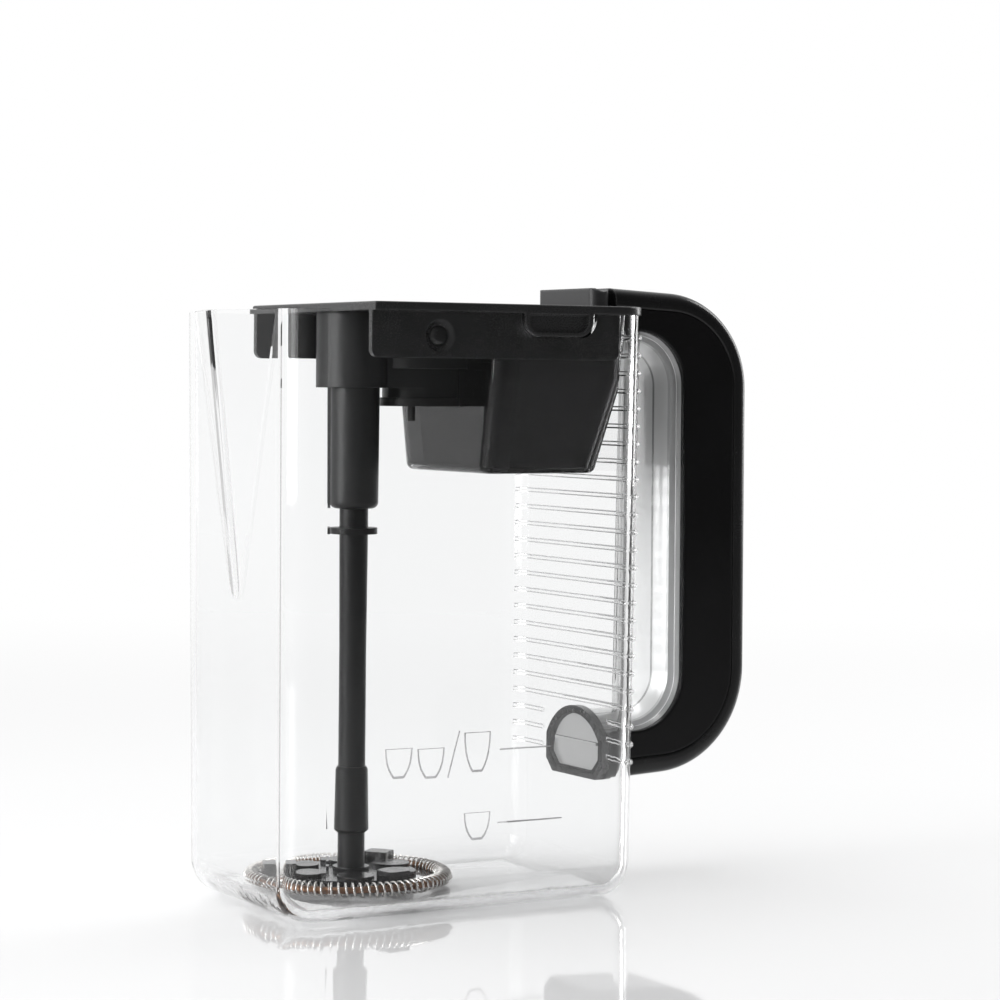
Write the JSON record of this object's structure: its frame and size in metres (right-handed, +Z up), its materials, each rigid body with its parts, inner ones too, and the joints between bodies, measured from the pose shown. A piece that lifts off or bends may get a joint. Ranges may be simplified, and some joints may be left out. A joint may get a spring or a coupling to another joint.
{
  "type": "drink mixing carafe",
  "caption": "Clear rectangular carafe with a pouring beak, a wrap-round handle and a lift-off lid that carries a geared coil whisk on a long shaft.",
  "frame": {"origin": "centre of the jug's foot, on the table", "axes": "+X towards the handle, -X towards the pouring beak, +Z up along the jug"},
  "size_m": [0.1852, 0.084, 0.1891],
  "materials": {
    "clear_plastic": "clear moulded plastic, polished",
    "black_plastic": "black moulded plastic, satin",
    "smoked_plastic": "smoked see-through plastic",
    "gear_plastic": "natural gear plastic",
    "bearing_brass": "sintered bearing",
    "steel": "stainless wire and rod"
  },
  "bodies": {
    "jug": {"jug": "clear_plastic", "handle_core": "clear_plastic", "handle_shell": "black_plastic", "handle_strap": "black_plastic", "handle_collar": "black_plastic"},
    "lid": {"lid_plate": "black_plastic", "thumb_rest": "black_plastic", "side_studs": "black_plastic", "gear_case": "black_plastic", "drive_tub": "smoked_plastic", "drive_capsule": "black_plastic", "spindle_sleeve": "black_plastic", "upper_bush": "bearing_brass", "lower_bush": "bearing_brass", "idler_pin": "steel"},
    "whisk": {"spindle": "steel", "spindle_gear": "gear_plastic", "whisk_shaft": "black_plastic", "whisk_ferrule": "black_plastic", "whisk_hub": "black_plastic", "whisk_ring": "steel", "whisk_coil": "steel"},
    "idler": {"idler_gear": "gear_plastic"},
    "output": {"output_gear": "gear_plastic"}
  },
  "joints": [
    {"name": "lid_lift", "type": "slide", "parent": "jug", "child": "lid", "axis": [0, 0, 1], "range_m": [0, 0.185]},
    {"name": "whisk_spin", "type": "hinge", "parent": "lid", "child": "whisk", "pos_m": [-0.021, 0, 0.15], "axis": [0, 0, 1], "continuous": true},
    {"name": "idler_spin", "type": "hinge", "parent": "lid", "child": "idler", "pos_m": [-0.001, 0, 0.1695], "axis": [0, 0, 1], "continuous": true},
    {"name": "output_spin", "type": "hinge", "parent": "lid", "child": "output", "pos_m": [0.025, 0, 0.1695], "axis": [0, 0, 1], "continuous": true}
  ],
  "couplings": [
    {"joint": "idler_spin", "follows": "whisk_spin", "ratio": -0.66667},
    {"joint": "output_spin", "follows": "whisk_spin", "ratio": 0.57143}
  ]
}
